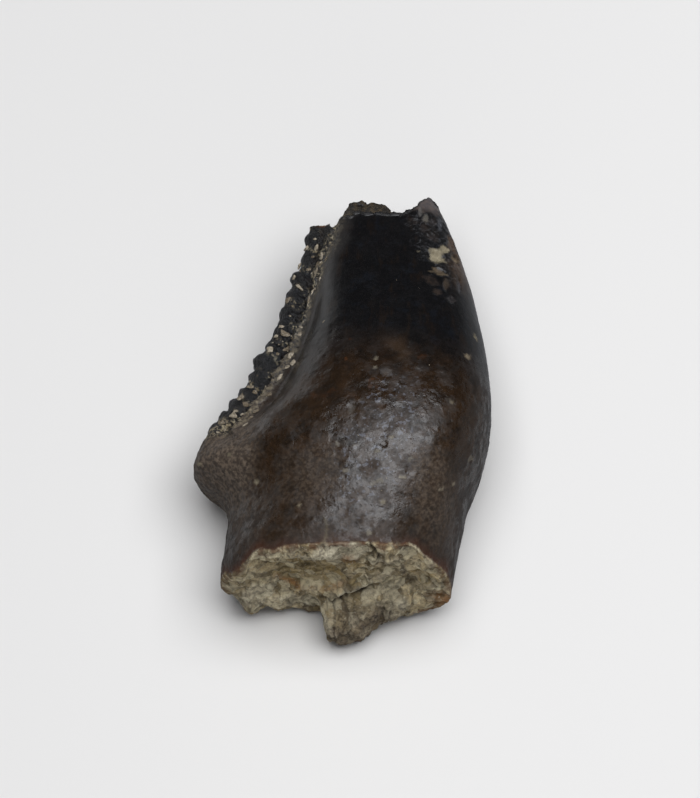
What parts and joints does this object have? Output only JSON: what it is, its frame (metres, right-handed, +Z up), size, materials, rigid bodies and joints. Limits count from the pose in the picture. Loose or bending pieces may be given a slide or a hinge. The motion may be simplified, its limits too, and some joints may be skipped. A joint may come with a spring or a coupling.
{
  "type": "fossil pachycephalosaur tooth",
  "caption": "Fossil tooth lying on its flatter face: bulging dark enamel crown with a beaded keel down one side, broken tip and a rough broken root stub.",
  "frame": {"origin": "on the surface the tooth lies on, below the middle of its box", "axes": "+Y along the tooth from the broken root to the broken tip, +X across it away from the beaded keel, +Z up through the bulging outer face"},
  "size_m": [0.0068, 0.0102, 0.0045],
  "materials": {
    "tooth": "glossy black to dark brown fossil enamel, rough tan dentine where the root and tip are broken"
  },
  "bodies": {
    "root": {"tooth": "tooth"}
  },
  "joints": []
}
